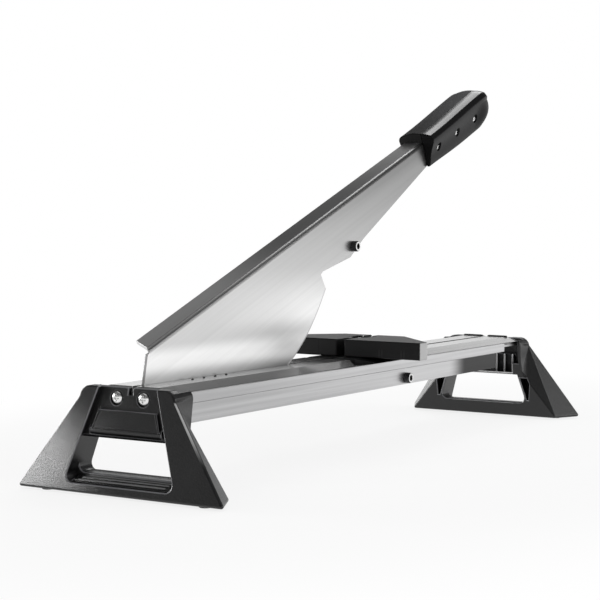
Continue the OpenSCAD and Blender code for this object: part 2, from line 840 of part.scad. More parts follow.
// Room in the grip for the tang, the flange and the screws' shanks
module grip_room() {
    length = grip_end_u - grip_front_u;
    translate([grip_front_u - over, -half_blade - grip_fit, 0])
        cube([length, blade_t + 2 * grip_fit, back_v + grip_fit]);
    translate([grip_front_u - over, -half_blade - grip_fit, web_top_v - grip_fit])
        cube([flange_end_u - grip_front_u + over + grip_fit, flange_w + 2 * grip_fit,
              bend_r + 2 * grip_fit]);
    for (i = [0:2])
        translate([grip_screw_u + i * grip_screw_step, 0, grip_screw_v]) {
            to_front() cylinder(h = 2 * grip_rear_y, d = grip_screw_d + 2 * fit, center = true);
            translate([0, -grip_front_y / 2, 0]) to_front()
                cylinder(h = grip_rear_y, d = grip_screw_head_d + 2 * fit);
        }
}

// Half of space on one side of the grip's joint
module half_space(side) {
    translate([0, side * base_w, 0]) cube([3 * base_len, 2 * base_w, 3 * base_len], center = true);
}

module grip_front() {
    color([0.1, 0.1, 0.1]) on_lever() difference() {
        intersection() {
            grip_form();
            half_space(-1);
        }
        grip_room();
    }
}

module grip_rear() {
    color([0.2, 0.2, 0.2]) on_lever() difference() {
        intersection() {
            grip_form();
            half_space(1);
        }
        grip_room();
    }
}

module grip_screws() {
    shank = (grip_front_y + grip_rear_y) / 2;
    head = 2.4;
    color("lightgray") on_lever()
        for (i = [0:2])
            translate([grip_screw_u + i * grip_screw_step, -grip_front_y / 2, grip_screw_v]) to_front() {
                translate([0, 0, -shank]) cylinder(h = shank, d = grip_screw_d);
                cylinder(h = head, d = grip_screw_head_d);
            }
}

// Half of the fence's plan at the rear, from its face to its back
module fence_plan() {
    end = fence_len / 2;
    slope = fence_deep - fence_end;
    pocket_end = pocket_x + pocket_len;
    difference() {
        polygon([[0, 0], [0, end], [fence_end, end], [fence_deep, end - slope], [fence_deep, 0]]);
        polygon([[-over, -over], [-over, fence_slot_w / 2], [pocket_x, fence_slot_in_w / 2],
                 [pocket_x, pocket_w / 2], [pocket_end, pocket_w / 2],
                 [pocket_end, fence_slot_in_w / 2], [fence_deep + over, fence_slot_in_w / 2],
                 [fence_deep + over, -over]]);
    }
}

module fence_block() {
    keel_h = fence_bottom - keel_bottom;
    color([0.12, 0.12, 0.12]) on_floor() difference() {
        union() {
            both_sides() translate([fence_x, 0, fence_bottom]) linear_extrude(fence_h) fence_plan();
            translate([keel_start, -keel_half, keel_bottom]) cube([keel_len, 2 * keel_half, keel_h]);
        }
        translate([swivel_at, 0, keel_bottom - over])
            cylinder(h = fence_h, d = swivel_d + 2 * fit);
        translate([swivel_at, 0, keel_bottom + table_t - swivel_head_h - fence_lift])
            cylinder(h = fence_h, d = swivel_head_d + 4 * fit);
    }
}

front_rail();
rear_rail();
front_table();
rear_table();
front_deck();
rear_deck();
front_fence_base();
rear_fence_base();
near_foot();
far_foot();
near_foot_screws();
far_foot_screws();
near_pads();
far_pads();
pivot_bolt();
pivot_nut();
pivot_washers();
tie_bolt();
tie_nut();
tie_spacer();
tie_sleeves();
fence_screw();
fence_nut();
blade();
pivot_bush();
stop_screw();
stop_nut();
grip_front();
grip_rear();
grip_screws();
fence_block();
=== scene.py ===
import math

import bmesh
import bpy
import numpy as np
from mathutils import Matrix


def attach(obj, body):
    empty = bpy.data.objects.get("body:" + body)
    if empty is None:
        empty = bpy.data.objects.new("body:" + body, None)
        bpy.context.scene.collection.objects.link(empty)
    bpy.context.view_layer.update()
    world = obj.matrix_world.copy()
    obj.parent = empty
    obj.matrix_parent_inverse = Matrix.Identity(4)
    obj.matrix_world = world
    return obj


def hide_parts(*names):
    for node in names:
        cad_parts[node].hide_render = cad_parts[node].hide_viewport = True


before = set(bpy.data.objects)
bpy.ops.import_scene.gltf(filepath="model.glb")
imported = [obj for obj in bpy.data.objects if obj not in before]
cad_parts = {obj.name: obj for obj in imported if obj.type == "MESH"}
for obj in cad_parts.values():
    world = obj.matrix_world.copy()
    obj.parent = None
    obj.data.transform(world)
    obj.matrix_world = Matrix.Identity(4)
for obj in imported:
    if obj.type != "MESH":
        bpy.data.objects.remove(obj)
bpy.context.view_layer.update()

bl_info = {
    "name": "Laminate flooring cutter",
    "version": (1, 0, 0),
    "blender": (4, 5, 0),
    "location": "3D View > Sidebar > Cutter",
    "description": "Looks of a lever cutter for flooring planks, built around its solids",
    "category": "Object",
}

MM = 0.001
MERGE = 1e-6
SHARP = 35.0
FLAT = math.radians(0.15)

# Places shared by several pieces, in millimetres from the near foot's outer edge and underside
BASE_LENGTH = 573.0
PAD_HEIGHT = 1.5
PIVOT = (40.0, 60.0)
LEVER_ANGLE = math.radians(21.2)
PIVOT_LINE = 0.14648  # Height of the lever's own line above the frame's origin, in metres
HALF_BLADE = 1.25
HALF_BASE = 37.2
STOP_SCREW = (283.2, -2.4)
TIE_BOLT = (329.0, 53.7)
FOOT_SCREW = (11.2, 64.1)
FOOT_SCREW_SEAT = 16.22


def on_floor(points):
    """Base coordinates in millimetres (x along the base, y to the rear, z up) as row metres."""
    shift = np.array([-BASE_LENGTH / 2, 0.0, PAD_HEIGHT])
    return (np.asarray(points, float) + shift) * MM


def on_lever(points):
    """Lever coordinates in millimetres (u along, y to the rear, v up) turned about the pivot.

    x = pivot + u cos a - v sin a, and z = pivot + u sin a + v cos a."""
    p = np.asarray(points, float)
    c, s = math.cos(LEVER_ANGLE), math.sin(LEVER_ANGLE)
    x = PIVOT[0] + p[..., 0] * c - p[..., 2] * s
    z = PIVOT[1] + p[..., 0] * s + p[..., 2] * c
    return on_floor(np.stack([x, p[..., 1], z], -1))


def smooth_step(low, high, value):
    """0 below low, 1 above high and a cubic ease between them."""
    t = np.clip((np.asarray(value, float) - low) / (high - low), 0.0, 1.0)
    return t * t * (3.0 - 2.0 * t)


def circle(count):
    """Angles of points spaced evenly round a circle."""
    return np.linspace(0.0, 2.0 * math.pi, count, endpoint=False)


def rings_round(turn, rings):
    """Rings about Z: each pair is a radius, which may change with the turn, and a height."""
    flat = np.ones_like(turn)
    return np.stack([np.column_stack([r * np.cos(turn), r * np.sin(turn), z * flat]) for r, z in rings])


def shade_smooth(mesh, sharp):
    """Shades a mesh smooth, apart from edges that turn by more than an angle in degrees."""
    mesh.polygons.foreach_set("use_smooth", np.ones(len(mesh.polygons), bool))
    mesh.set_sharp_from_angle(angle=math.radians(sharp))


def linked(name, data):
    """A new object in the scene, at the origin."""
    made = bpy.data.objects.new(name, data)
    bpy.context.scene.collection.objects.link(made)
    return made


def finish_mesh(mesh, sharp):
    """Merges doubles, turns the faces outwards, shades smooth and keeps sharp edges."""
    work = bmesh.new()
    work.from_mesh(mesh)
    bmesh.ops.remove_doubles(work, verts=work.verts, dist=MERGE)
    bmesh.ops.dissolve_degenerate(work, edges=work.edges, dist=MERGE)
    bmesh.ops.recalc_face_normals(work, faces=work.faces)
    work.to_mesh(mesh)
    work.free()
    shade_smooth(mesh, sharp)
    mesh.update()


def surface(name, points, wrap=True, sharp=SHARP):
    """A mesh from a grid of points: each cell of rows and columns becomes one quad.

    With wrap, the last column joins the first. Rows that fall on one point become a pole."""
    rows, cols = points.shape[:2]
    index = np.arange(rows * cols).reshape(rows, cols)
    right = np.roll(index, -1, axis=1)
    last = cols if wrap else cols - 1
    quads = np.stack([index[:-1, :last], right[:-1, :last], right[1:, :last], index[1:, :last]], -1)
    mesh = bpy.data.meshes.new(name)
    mesh.from_pydata(points.reshape(-1, 3).tolist(), [], quads.reshape(-1, 4).tolist())
    finish_mesh(mesh, sharp)
    return linked(name, mesh)


def joined(name, pieces):
    """Several pieces made one object, each with its own closed surface."""
    work = bmesh.new()
    for piece in pieces:
        work.from_mesh(piece.data)
    mesh = bpy.data.meshes.new(name)
    work.to_mesh(mesh)
    work.free()
    for piece in pieces:
        old = piece.data
        bpy.data.objects.remove(piece)
        bpy.data.meshes.remove(old)
    shade_smooth(mesh, SHARP)
    return linked(name, mesh)


def dress(piece, material, body, replaced=()):
    """Gives a piece its material and its body, and hides the CAD nodes that it stands for."""
    piece.data.materials.clear()
    piece.data.materials.append(material)
    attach(piece, body)
    if replaced:
        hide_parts(*replaced)


def softened(node, name, width, segments=2, limit=30.0, sharp=32.0):
    """A merged copy of a CAD node whose outer edges are rounded to a width in millimetres.

    An edge is rounded where its faces turn by more than the limit, and less where they are narrow.
    Shading follows the larger faces, so that flat faces stay flat."""
    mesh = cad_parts[node].data.copy()
    mesh.name = name
    work = bmesh.new()
    work.from_mesh(mesh)
    bmesh.ops.remove_doubles(work, verts=work.verts, dist=2 * MERGE)
    bmesh.ops.dissolve_limit(work, angle_limit=FLAT, verts=work.verts, edges=work.edges)
    weight = work.edges.layers.float.new("bevel_weight_edge")
    for edge in work.edges:
        if edge.is_convex and edge.calc_face_angle(0.0) > math.radians(limit):
            area = min(face.calc_area() for face in edge.link_faces)
            edge[weight] = min(1.0, area / (edge.calc_length() * 2.4 * width * MM))
    work.to_mesh(mesh)
    work.free()
    shade_smooth(mesh, sharp)
    made = linked(name, mesh)
    bevel = made.modifiers.new("rounded_edges", "BEVEL")
    bevel.width = width * MM
    bevel.segments = segments
    bevel.limit_method = "WEIGHT"
    bevel.use_clamp_overlap = False
    even = made.modifiers.new("even_shading", "WEIGHTED_NORMAL")
    even.keep_sharp = True
    return made


class Value:
    """A shader socket that takes part in Python expressions. Each operator adds one Math node."""

    def __init__(self, shader, socket):
        self.shader = shader
        self.socket = socket

    def maths(self, operation, *others):
        return self.shader.node("ShaderNodeMath", {"operation": operation},
                                dict(enumerate((self, *others))))

    def flipped(self, operation, other):
        return self.shader.node("ShaderNodeMath", {"operation": operation}, {0: other, 1: self})

    def __add__(self, other):
        return self.maths("ADD", other)

    __radd__ = __add__

    def __sub__(self, other):
        return self.maths("SUBTRACT", other)

    def __rsub__(self, other):
        return self.flipped("SUBTRACT", other)

    def __mul__(self, other):
        return self.maths("MULTIPLY", other)

    __rmul__ = __mul__

    def __abs__(self):
        return self.maths("ABSOLUTE")

    def fall(self, low, high):
        """1 below low, 0 above high and an ease between them."""
        return 1.0 - self.step(low, high)

    def line(self, at, core, fade):
        """1 within core of a place, 0 beyond fade."""
        return abs(self - at).fall(core, fade)

    def step(self, low, high, to_low=0.0, to_high=1.0):
        """Eases from to_low to to_high while this value goes from low to high."""
        return self.shader.node("ShaderNodeMapRange", {"interpolation_type": "SMOOTHSTEP"},
                                {"Value": self, "From Min": low, "From Max": high,
                                 "To Min": to_low, "To Max": to_high})


class Shader:
    """A node tree that is written as expressions."""

    def __init__(self, tree):
        self.tree = tree
        tree.nodes.clear()

    def node(self, kind, settings=None, sockets=None, output=0):
        """Adds a node: its settings first, then the values or links of its sockets."""
        made = self.tree.nodes.new(kind)
        for name, value in (settings or {}).items():
            setattr(made, name, value)
        for key, value in (sockets or {}).items():
            if isinstance(value, Value):
                self.tree.links.new(value.socket, made.inputs[key])
            else:
                made.inputs[key].default_value = value
        return Value(self, made.outputs[output]) if made.outputs else None

    def place(self):
        """Object coordinates, which are row metres on every piece."""
        return self.node("ShaderNodeTexCoord", output="Object")

    def scaled(self, vector, factors):
        return self.node("ShaderNodeVectorMath", {"operation": "MULTIPLY"}, {0: vector, 1: factors})

    def turned(self, vector, angle):
        """The same coordinates turned about Y, so that X runs along a slanting piece."""
        return self.node("ShaderNodeMapping", None, {"Vector": vector, "Rotation": (0.0, angle, 0.0)})

    def parts(self, vector):
        """The three numbers of a vector."""
        made = self.node("ShaderNodeSeparateXYZ", None, {0: vector})
        return [Value(self, socket) for socket in made.socket.node.outputs]

    def noise(self, vector, scale, detail=2.0, roughness=0.5):
        return self.node("ShaderNodeTexNoise", None,
                         {"Vector": vector, "Scale": scale, "Detail": detail, "Roughness": roughness})

    def blend(self, factor, first, second):
        """A colour between two colours."""
        return self.node("ShaderNodeMix", {"data_type": "RGBA"}, {0: factor, 6: first, 7: second}, 2)

    def bump(self, height, distance, strength=1.0):
        return self.node("ShaderNodeBump", None,
                         {"Height": height, "Distance": distance, "Strength": strength})

    def skin(self, sockets):
        """The Principled shader with these sockets, as the surface."""
        made = self.node("ShaderNodeBsdfPrincipled", None, sockets)
        self.node("ShaderNodeOutputMaterial", None, {"Surface": made})


MATERIALS = {}


def material(build):
    """Makes a material once, and keeps it under the name of the function that builds it."""
    def made():
        name = build.__name__
        if name not in MATERIALS:
            new = bpy.data.materials.new(name)
            new.use_nodes = True
            build(Shader(new.node_tree), bpy.context.scene.cutter_looks)
            MATERIALS[name] = new
        return MATERIALS[name]
    return made


def tone(colour, factor):
    """A colour made lighter or darker, with full alpha."""
    return tuple(min(1.0, c * factor) for c in colour[:3]) + (1.0,)


@material
def drawn_aluminium(s, looks):
    """Extruded aluminium: long fine die lines and a soft cloudiness, with a painted gradient of light along
    the rails and painted shade on the front rail's lower side near the far foot.
    """
    at = s.place()
    lines = s.noise(s.scaled(at, (3.0, 2600.0, 2600.0)), 1.0, 3.0)
    bands = (s.noise(s.scaled(at, (5.0, 420.0, 420.0)), 1.0, 3.0) - 0.5) * 2.2 + 0.5
    cloud = s.noise(at, 14.0, 3.0)
    x, y, z = s.parts(at)
    mix = lines * 0.3 + bands * 0.6 + cloud * 0.1
    # Painted shade: the front rail's lower side darkens to near black towards the far foot.
    front = (0.0 - y).step(0.036, 0.0365) * z.fall(0.0628, 0.0632)
    worn = front * x.step(0.118, 0.15) * 0.98
    # Painted light: the rails darken towards the near end and lighten towards the far end.
    mix = mix + x.step(-0.28, 0.12, -0.35, 0.35)
    colour = s.blend(mix, tone(looks.aluminium, 0.8), tone(looks.aluminium, 1.2))
    colour = s.blend(worn, colour, (0.03, 0.03, 0.03, 1.0))
    s.skin({"Base Color": colour, "Metallic": 1.0, "Roughness": 0.26 + lines * 0.16,
            "Normal": s.bump(lines, 0.00002, 0.5)})


@material
def table_metal(s, looks):
    """Anodised table strips: fine lines, thin drawn grooves and a dark joint, with painted shade: a darker
    slope before the fence and a darker flat, most beyond it.
    """
    at = s.place()
    x, y, z = s.parts(at)
    lines = s.noise(s.scaled(at, (4.0, 2200.0, 2200.0)), 1.0, 3.0)
    cloud = s.noise(at, 22.0, 3.0)
    across = abs(y)
    grooves = across.line(0.0125, 0.0002, 0.0004) + across.line(0.0275, 0.0002, 0.0004)
    slope = across.step(0.0198, 0.0202)
    joint = across.step(0.0338, 0.0341)
    # Painted shade: the slope darkens most towards the near end and clears past the fence, and the flat
    # darkens more beyond the fence. The joint by the rail is dark.
    worn = slope * x.step(-0.1, -0.075, 0.92, 0.35) * x.fall(-0.02, 0.04)
    worn = worn + (1.0 - slope) * x.step(-0.02, 0.06, 0.3, 0.5) + joint * 0.8
    mix = lines * 0.6 + cloud * 0.4 - grooves * 0.9
    metal = s.blend(mix, tone(looks.table, 0.84), tone(looks.table, 1.12))
    metal = s.blend(worn, metal, (0.05, 0.05, 0.05, 1.0))
    s.skin({"Base Color": metal, "Metallic": 1.0, "Roughness": 0.14 + lines * 0.12})


@material
def brushed_blade(s, looks):
    """Brushed steel: streaks along the lever, with painted highlights in soft bands across it and painted
    shade along the bend, under it and at the foot.
    """
    at = s.turned(s.place(), LEVER_ANGLE)
    streaks = s.noise(s.scaled(at, (2.5, 100.0, 420.0)), 1.0, 2.0, 0.5)
    broad = s.noise(s.scaled(at, (3.0, 20.0, 110.0)), 1.0, 3.0)
    cloud = s.noise(at, 9.0, 2.0)
    x, y, z = s.parts(s.place())
    # A patch by the lower far end is less metallic, and it also lifts the painted highlight there.
    satin = x.step(-0.1, -0.035) * z.fall(0.1, 0.15)
    # Painted highlight: bright bands across the plate at set heights, fading towards the grip.
    painted_sheen = 0.33 + z.fall(0.105, 0.235) * 0.38 + satin * 0.2
    painted_sheen = painted_sheen + z.step(0.076, 0.086) * z.fall(0.09, 0.1) * 0.32
    painted_sheen = painted_sheen + z.step(0.1, 0.112) * z.fall(0.114, 0.15) * x.step(-0.2, -0.06) * 0.2
    # Painted shade: the plate darkens at its foot, by the table.
    painted_sheen = painted_sheen * (1.0 - z.fall(0.068, 0.083) * x.step(-0.22, -0.08, 0.42, 0.72))
    high = z * math.cos(LEVER_ANGLE) - x * math.sin(LEVER_ANGLE) - PIVOT_LINE
    # Painted shade: a dark line along the bend, strongest towards the heel, and a soft dark band under it
    # towards the far end.
    bend = high.step(0.0318, 0.0334) * y.fall(0.0014, 0.0024)
    painted_sheen = painted_sheen * (1.0 - high.step(0.019, 0.0325) * x.step(-0.08, 0.14, 0.0, 0.25))
    # Painted reflection: the flange takes its own lightness, lighter towards the heel and towards the grip.
    flange = high.step(0.0334, 0.0356) * y.step(0.0014, 0.0024)
    painted_sheen = painted_sheen * (1.0 - bend * x.step(-0.26, 0.14, 0.66, 0.15)) * (1.0 - flange)
    painted_sheen = painted_sheen + flange * (x.step(-0.18, -0.06, 0.85, 0.3) + x.step(0.0, 0.16) * 0.35)
    mix = streaks * 0.5 + broad * 0.35 + cloud * 0.15
    colour = s.blend(mix, tone(looks.steel, 0.8), tone(looks.steel, 1.24))
    colour = s.node("ShaderNodeVectorMath", {"operation": "SCALE"}, {0: colour, "Scale": painted_sheen})
    s.skin({"Base Color": colour, "Metallic": 0.96 - satin * 0.6, "Roughness": 0.29 + streaks * 0.05})


@material
def ground_edge(s, looks):
    """Ground bevel of the blade: darker than the plate, with fine lines across the edge."""
    at = s.turned(s.place(), LEVER_ANGLE)
    lines = s.noise(s.scaled(at, (2400.0, 300.0, 60.0)), 1.0, 3.0)
    colour = s.blend(lines, tone(looks.steel, 0.62), tone(looks.steel, 0.72))
    s.skin({"Base Color": colour, "Metallic": 1.0, "Roughness": 0.32 + lines * 0.06})


def moulded(s, colour, rough, grain, depth, gloss=0.34, marks=()):
    """Moulded plastic: spark-eroded grain, faint cloudiness and slightly scuffed gloss.

    Each mark is a factor and a grey that it blends the colour to."""
    at = s.place()
    fine = s.noise(at, grain, 2.0, 0.6)
    cloud = s.noise(at, 30.0, 4.0)
    shade = s.blend(fine * 0.5 + cloud * 0.5, tone(colour, 0.75), tone(colour, 1.3))
    for factor, grey in marks:
        shade = s.blend(factor, shade, (grey, grey, grey, 1.0))
    s.skin({"Base Color": shade, "Roughness": rough - 0.06 + fine * 0.08 + cloud * 0.06,
            "Specular IOR Level": gloss, "Normal": s.bump(fine, depth, 0.6)})


@material
def black_plastic(s, looks):
    """Black satin plastic of the feet, with painted highlights on the sill's ribs and the legs' outer
    edges.

    Rise is the height above the sloping sill, side and face the way in from a leg's two faces."""
    x, y, z = s.parts(s.place())
    half_length, half_width, pad, sill = 0.2865, 0.085, 0.0015, 0.0078
    sill_slope, side_slope, face_slope = 0.2192, 0.7028, 0.1704
    rise = z - sill - (half_length - abs(x)) * sill_slope
    # Painted highlight along the crests of the sill's ribs.
    crest_highlights = rise.step(0.0003, 0.0007) * rise.fall(0.00115, 0.0013) * abs(y).fall(0.036, 0.037)
    side = abs(y) - half_width + (z - pad) * side_slope
    face = half_length - abs(x) - (z - pad) * face_slope
    # Painted highlight along the legs' outer edges, over their upper part.
    edge = side.step(-0.0009, -0.0006) * face.fall(0.0006, 0.0009)
    edge = edge * z.step(0.025, 0.05) * z.fall(0.0645, 0.066)
    moulded(s, tone(looks.plastic, 0.7), 0.3, 1100.0, 0.0002, 0.5, ((crest_highlights, 0.16), (edge, 0.45)))


@material
def edge_highlight_plastic(s, looks):
    """The feet's plastic along rounded edges: paler and glossier, a painted highlight, with painted glints
    on the ends of the inner ribs.
    """
    x, y, z = s.parts(s.place())
    # Painted glints on the ends of the inner ribs by the rails.
    rib_tip_glints = abs(x).fall(0.2597, 0.26) * abs(y).fall(0.0312, 0.0316)
    moulded(s, tone(looks.plastic, 15.0), 0.24, 1900.0, 0.00003, 0.6, ((rib_tip_glints, 0.95),))


@material
def fence_plastic(s, looks):
    """Black satin plastic of the fence: a seam and draw lines, with painted light on the cut ends and
    painted glints along the slot's rim.
    """
    x, y, z = s.parts(s.place())
    seam = y.line(0.0203, 0.0002, 0.0005)
    pairs = abs(abs(y + 0.0469) - 0.0099)
    lines = pairs.line(0.0013, 0.0002, 0.0006) * z.fall(0.078, 0.083)
    # Painted light on the cut ends.
    ends = abs(y).step(0.0719, 0.0724)
    # Painted glints along the top of the slot's rim, over a short run.
    rim = abs(y).line(0.0041, 0.0004, 0.0007) * z.step(0.0866, 0.087)
    rim = rim * x.step(0.02, 0.024) * x.fall(0.044, 0.048)
    marks = ((seam, 0.002), (lines, 0.02), (ends, 0.45), (rim, 0.8))
    moulded(s, tone(looks.plastic, 0.7), 0.4, 1900.0, 0.00004, 0.16, marks)


@material
def grip_gloss(s, looks):
    """Smooth hard shell of the grip."""
    moulded(s, tone(looks.plastic, 0.7), 0.34, 2400.0, 0.00002, 0.07)


@material
def grip_band_gloss(s, looks):
    """Polished strip along the top of the grip."""
    moulded(s, looks.plastic, 0.24, 900.0, 0.00003, 0.4)


@material
def grip_matte(s, looks):
    """Textured soft shell of the grip: close small pips, with painted shade at its front and painted light
    towards its end.
    """
    at = s.turned(s.place(), LEVER_ANGLE)
    x = s.parts(s.place())[0]
    away = s.node("ShaderNodeTexVoronoi", None, {"Vector": at, "Scale": 620.0, "Randomness": 0.4})
    pips = (0.45 - away) * 2.0
    cloud = s.noise(at, 900.0, 3.0)
    # Painted light: the shell darkens at its front and lightens towards its end.
    painted_light_ramp = x.step(0.128, 0.2, 0.3, 3.2)
    mix = pips * 0.25 + cloud * 0.5 + 0.1
    shade = s.blend(mix, tone(looks.soft_grip, 0.6), tone(looks.soft_grip, 1.6))
    shade = s.node("ShaderNodeVectorMath", {"operation": "SCALE"}, {0: shade, "Scale": painted_light_ramp})
    s.skin({"Base Color": shade, "Roughness": 0.62 + cloud * 0.1, "Specular IOR Level": 0.2,
            "Normal": s.bump(pips * 0.6 + cloud * 0.4, 0.00022, 0.8)})


@material
def blackened_steel(s, looks):
    """Oxidised cap screws, worn to bare steel in scattered patches."""
    at = s.place()
    wear = s.noise(at, 1500.0, 3.0).step(0.56, 0.72)
    colour = s.blend(wear, (0.035, 0.035, 0.037, 1.0), (0.16, 0.16, 0.16, 1.0))
    s.skin({"Base Color": colour, "Metallic": 0.85, "Roughness": 0.34 - wear * 0.08})


@material
def worn_face(s, looks):
    """Face of a cap screw, where the oxide has worn to grey steel."""
    worn = s.noise(s.place(), 1100.0, 3.0)
    colour = s.blend(worn, (0.62, 0.62, 0.62, 1.0), (0.9, 0.9, 0.9, 1.0))
    s.skin({"Base Color": colour, "Metallic": 1.0, "Roughness": 0.26 + worn * 0.1})


@material
def zinc_plate(s, looks):
    """Bright zinc on the screws, with a fine turned haze."""
    at = s.place()
    haze = s.noise(at, 1300.0, 3.0)
    colour = s.blend(haze, (0.74, 0.74, 0.74, 1.0), (0.95, 0.95, 0.94, 1.0))
    s.skin({"Base Color": colour, "Metallic": 1.0, "Roughness": 0.18 + haze * 0.14})


@material
def pad_rubber(s, looks):
    """Dull rubber of the pads."""
    moulded(s, looks.rubber, 0.7, 1400.0, 0.00008)


@material
def pale_washer(s, looks):
    """Pale bearing plastic of the pivot washers."""
    moulded(s, (0.72, 0.72, 0.69, 1.0), 0.45, 1200.0, 0.00004)


@material
def turned_brass(s, looks):
    """Brass sleeve in the blade's eye, with turning lines."""
    at = s.place()
    lines = s.noise(s.scaled(at, (300.0, 4200.0, 300.0)), 1.0, 2.0)
    colour = s.blend(lines, (0.56, 0.38, 0.16, 1.0), (0.76, 0.56, 0.28, 1.0))
    s.skin({"Base Color": colour, "Metallic": 1.0, "Roughness": 0.25 + lines * 0.15})


def colour_setting(name, description, default):
    """A colour that a user may change."""
    return bpy.props.FloatVectorProperty(name=name, description=description, subtype="COLOR",
                                         size=4, min=0.0, max=1.0, default=default)


class CutterLooks(bpy.types.PropertyGroup):
    """Colours of the finishes and roundings of the edges."""

    aluminium: colour_setting("Aluminium", "Colour of the rails", (0.52, 0.52, 0.525, 1.0))
    table: colour_setting("Tables", "Colour of the table strips", (0.78, 0.78, 0.78, 1.0))
    steel: colour_setting("Blade", "Colour of the blade's steel", (0.92, 0.92, 0.915, 1.0))
    plastic: colour_setting("Plastic", "Colour of feet, fence and grip", (0.010, 0.010, 0.0105, 1.0))
    soft_grip: colour_setting("Soft grip", "Colour of the textured grip shell", (0.012, 0.012, 0.0125, 1.0))
    rubber: colour_setting("Rubber", "Colour of the pads", (0.018, 0.018, 0.018, 1.0))
    plastic_edge: bpy.props.FloatProperty(
        name="Plastic edges", description="Rounding of moulded edges, in millimetres",
        default=0.8, min=0.1, max=1.5)
    metal_edge: bpy.props.FloatProperty(
        name="Metal edges", description="Rounding of metal edges, in millimetres",
        default=0.2, min=0.05, max=0.6)


class CutterHardware(bpy.types.PropertyGroup):
    """Sizes of the screws that show."""

    cap_head: bpy.props.FloatProperty(
        name="Cap head", description="Diameter of the cap screws' heads, in millimetres",
        default=8.5, min=6.0, max=12.0)
    cap_height: bpy.props.FloatProperty(
        name="Cap height", description="Height of the cap screws' heads, in millimetres",
        default=5.0, min=3.0, max=8.0)
    cap_socket: bpy.props.FloatProperty(
        name="Cap socket", description="Hexagon width across flats, in millimetres",
        default=4.0, min=2.0, max=6.0)
    cap_knurls: bpy.props.IntProperty(
        name="Knurls", description="Knurls round a cap screw's head", default=30, min=12, max=60)
    pan_head: bpy.props.FloatProperty(
        name="Pan head", description="Diameter of the foot screws' heads, in millimetres",
        default=8.4, min=6.0, max=10.0)
    pan_height: bpy.props.FloatProperty(
        name="Pan height", description="Height of the foot screws' heads, in millimetres",
        default=2.4, min=1.5, max=4.0)


class CutterGrip(bpy.types.PropertyGroup):
    """Sizes of the grip, along the lever and above the pivot line."""

    front: bpy.props.FloatProperty(
        name="Front", description="Distance of the grip's front, in millimetres", default=425.0)
    end: bpy.props.FloatProperty(
        name="End", description="Distance of the grip's end, in millimetres", default=550.0)
    low: bpy.props.FloatProperty(
        name="Underside", description="Height of the underside, in millimetres", default=14.0)
    front_reach: bpy.props.FloatProperty(
        name="Front reach", description="Reach in front of the blade, in millimetres", default=12.0)
    rear_reach: bpy.props.FloatProperty(
        name="Rear reach", description="Reach behind the blade, in millimetres", default=22.0)
    recess: bpy.props.FloatProperty(
        name="Recess", description="Depth of the screw recesses, in millimetres", default=4.4)


class CutterStage(bpy.types.PropertyGroup):
    """Light levels of the studio."""

    left: bpy.props.FloatProperty(
        name="Left", description="Power of the small spot by the near foot", subtype="POWER",
        default=4.3, min=0.0, max=20.0)
    strip: bpy.props.FloatProperty(
        name="Strip", description="Power of the lamp at the left", subtype="POWER",
        default=7.0, min=0.0, max=50.0)
    ambient: bpy.props.FloatProperty(
        name="Ambient", description="Level of the even light", default=0.55, min=0.0, max=2.0)
    key: bpy.props.FloatProperty(
        name="Key", description="Power of the large lamp at the right", subtype="POWER",
        default=15.0, min=0.0, max=100.0)
    top: bpy.props.FloatProperty(
        name="Top", description="Power of the lamp above", subtype="POWER",
        default=7.0, min=0.0, max=100.0)


# Base

class CUTTER_OT_base(bpy.types.Operator):
    """Rails, tables and decks with softened edges and their metal finishes"""

    bl_idname = "cutter.base"
    bl_label = "Base"

    def execute(self, context):
        edge = context.scene.cutter_looks.metal_edge
        for side in ("front", "rear"):
            rail = softened(f"{side}_rail", f"{side}_rail_drawn", 0.15, sharp=4.0)
            dress(rail, drawn_aluminium(), "base", [f"{side}_rail"])
            for strip in ("table", "deck"):
                node = f"{side}_{strip}"
                piece = softened(node, f"{node}_strip", edge, sharp=4.0)
                dress(piece, table_metal(), "base", [node])
            sign = -1.0 if side == "front" else 1.0
            dress(self.studs(f"{side}_studs", sign), pad_rubber(), "base")
            dress(self.lip(f"{side}_lip", sign), black_plastic(), "base")
        return {"FINISHED"}

    def lip(self, name, sign):
        """Black lip on a deck's far end: a half ellipse carried along y, and drawn in at both ends."""
        deck = np.array([v.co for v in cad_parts["front_deck"].data.vertices]) / MM
        half_wide, high, inset = 1.7, 1.2, 1.8
        along = np.array([2.4, 2.4, 3.0, 4.5, 20.5, 21.6, 22.0, 22.0])[:, None]
        size = np.array([0.0, 0.55, 0.85, 1.0, 1.0, 0.85, 0.55, 0.0])[:, None]
        turn = circle(24)[None]
        rise = np.maximum(np.sin(turn), -0.25)
        form = np.stack([half_wide * size * np.cos(turn), sign * along + 0.0 * turn,
                         high * size * rise], -1)
        end = [deck[:, 0].max() + BASE_LENGTH / 2 - inset, 0.0, deck[:, 2].max() - PAD_HEIGHT]
        return surface(name, on_floor(form + np.array(end)))

    def studs(self, name, sign):
        """Row of small black studs by the slot: half ellipsoids, x = a cos t cos p, z = h sin t."""
        top = max(v.co.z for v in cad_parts["front_table"].data.vertices) / MM - PAD_HEIGHT
        first, pitch, from_slot = 77.4, 13.65, 6.2
        long, wide, high = 1.3, 0.8, 0.7
        tilt = np.linspace(-0.3, math.pi / 2, 8)[:, None]
        turn = circle(20)[None]
        form = np.stack([long * np.cos(tilt) * np.cos(turn), wide * np.cos(tilt) * np.sin(turn),
                         high * np.sin(tilt) + 0.0 * turn], -1)
        form = np.concatenate([np.repeat(form[:1].mean(1, keepdims=True), 20, 1), form])
        places = [(first + pitch * n, sign * from_slot, top) for n in range(4)]
        return joined(name, [surface("stud", on_floor(form + np.array(place))) for place in places])


